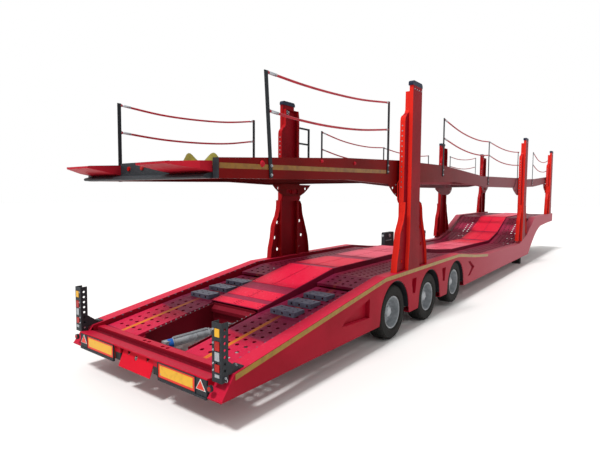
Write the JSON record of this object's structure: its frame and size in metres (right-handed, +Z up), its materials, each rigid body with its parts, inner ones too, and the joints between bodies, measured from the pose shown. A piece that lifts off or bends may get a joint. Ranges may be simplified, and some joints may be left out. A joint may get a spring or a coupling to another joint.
{
  "type": "car hauler semi-trailer",
  "caption": "Two-deck car hauler semi-trailer with perforated wheel tracks, lifting posts, tilting upper platforms, guard ropes and a low deck arched over its axles",
  "frame": {"origin": "centre of the trailer's bounding box on the ground", "axes": "+X forward to the kingpin end, +Y to the left side, +Z up"},
  "size_m": [17.4, 2.55, 3.77],
  "materials": {
    "red_paint": "gloss",
    "dark_red_paint": "gloss",
    "galvanised": "matt",
    "charcoal_paint": "satin",
    "black_rubber": "matt",
    "tyre": "matt",
    "rim_silver": "satin",
    "black_plastic": "matt",
    "marker_sheet": "retroreflective sheet",
    "rope": "woven sleeve"
  },
  "bodies": {
    "chassis": {"side_frame_right": "red_paint", "side_frame_left": "red_paint", "chassis_frame": "dark_red_paint", "cross_members": "dark_red_paint", "rear_crossbeam": "red_paint", "marker_boards": "marker_sheet", "plate_panel": "red_paint", "underrun_bar": "charcoal_paint", "tracks_rear": "red_paint", "tracks_axles": "dark_red_paint", "tracks_front": "dark_red_paint", "centre_spine": "dark_red_paint", "centre_panels": "red_paint", "rear_well": "red_paint", "step_blocks": "galvanised", "corner_posts": "charcoal_paint", "tilt_cylinder": "galvanised", "axle_rear": "charcoal_paint", "axle_middle": "charcoal_paint", "axle_front": "charcoal_paint", "air_springs": "black_rubber", "mudguards": "black_plastic", "landing_legs": "charcoal_paint", "kingpin_plate": "charcoal_paint", "rear_posts": "red_paint", "middle_posts": "red_paint", "front_posts": "red_paint", "post_caps": "black_plastic", "middle_brackets": "dark_red_paint", "handhold": "charcoal_paint", "control_box": "charcoal_paint"},
    "wheel_rear_right": {"tyre_rear_right": "tyre", "rim_rear_right": "rim_silver"},
    "wheel_rear_left": {"tyre_rear_left": "tyre", "rim_rear_left": "rim_silver"},
    "wheel_middle_right": {"tyre_middle_right": "tyre", "rim_middle_right": "rim_silver"},
    "wheel_middle_left": {"tyre_middle_left": "tyre", "rim_middle_left": "rim_silver"},
    "wheel_front_right": {"tyre_front_right": "tyre", "rim_front_right": "rim_silver"},
    "wheel_front_left": {"tyre_front_left": "tyre", "rim_front_left": "rim_silver"},
    "rear_platform": {"rear_platform_frame": "red_paint", "rear_platform_tracks": "dark_red_paint", "rear_platform_flaps": "red_paint", "rear_platform_end": "charcoal_paint", "rear_platform_rails": "charcoal_paint", "rear_platform_ropes": "rope"},
    "front_platform": {"front_platform_frame": "red_paint", "front_platform_tracks": "dark_red_paint", "front_platform_rails": "charcoal_paint", "front_platform_ropes": "rope"},
    "rear_carriage": {"rear_carriages": "dark_red_paint"},
    "front_carriage": {"front_carriages": "dark_red_paint"}
  },
  "joints": [
    {"name": "wheel_rear_right_turn", "type": "hinge", "parent": "chassis", "child": "wheel_rear_right", "pos_m": [-5.122, -1.1205, 0.394], "axis": [0, 1, 0], "continuous": true},
    {"name": "wheel_rear_left_turn", "type": "hinge", "parent": "chassis", "child": "wheel_rear_left", "pos_m": [-5.122, 1.1205, 0.394], "axis": [0, 1, 0], "continuous": true},
    {"name": "wheel_middle_right_turn", "type": "hinge", "parent": "chassis", "child": "wheel_middle_right", "pos_m": [-3.812, -1.1205, 0.394], "axis": [0, 1, 0], "continuous": true},
    {"name": "wheel_middle_left_turn", "type": "hinge", "parent": "chassis", "child": "wheel_middle_left", "pos_m": [-3.812, 1.1205, 0.394], "axis": [0, 1, 0], "continuous": true},
    {"name": "wheel_front_right_turn", "type": "hinge", "parent": "chassis", "child": "wheel_front_right", "pos_m": [-2.502, -1.1205, 0.444], "axis": [0, 1, 0], "continuous": true},
    {"name": "wheel_front_left_turn", "type": "hinge", "parent": "chassis", "child": "wheel_front_left", "pos_m": [-2.502, 1.1205, 0.444], "axis": [0, 1, 0], "continuous": true},
    {"name": "rear_platform_tilt", "type": "hinge", "parent": "chassis", "child": "rear_platform", "pos_m": [3.27, 0, 2.45], "axis": [0, 1, 0], "range_deg": [-7, 4]},
    {"name": "rear_carriage_slide", "type": "slide", "parent": "chassis", "child": "rear_carriage", "axis": [0, 0, 1], "range_m": [-0.96, 0.55]},
    {"name": "front_platform_tilt", "type": "hinge", "parent": "chassis", "child": "front_platform", "pos_m": [3.77, 0, 2.465], "axis": [0, 1, 0], "range_deg": [-4, 8]},
    {"name": "front_carriage_slide", "type": "slide", "parent": "chassis", "child": "front_carriage", "axis": [0, 0, 1], "range_m": [-0.61, 0.305]}
  ],
  "couplings": [
    {"joint": "rear_carriage_slide", "follows": "rear_platform_tilt", "m_per_rad": 7.8},
    {"joint": "front_carriage_slide", "follows": "front_platform_tilt", "m_per_rad": -4.31}
  ]
}
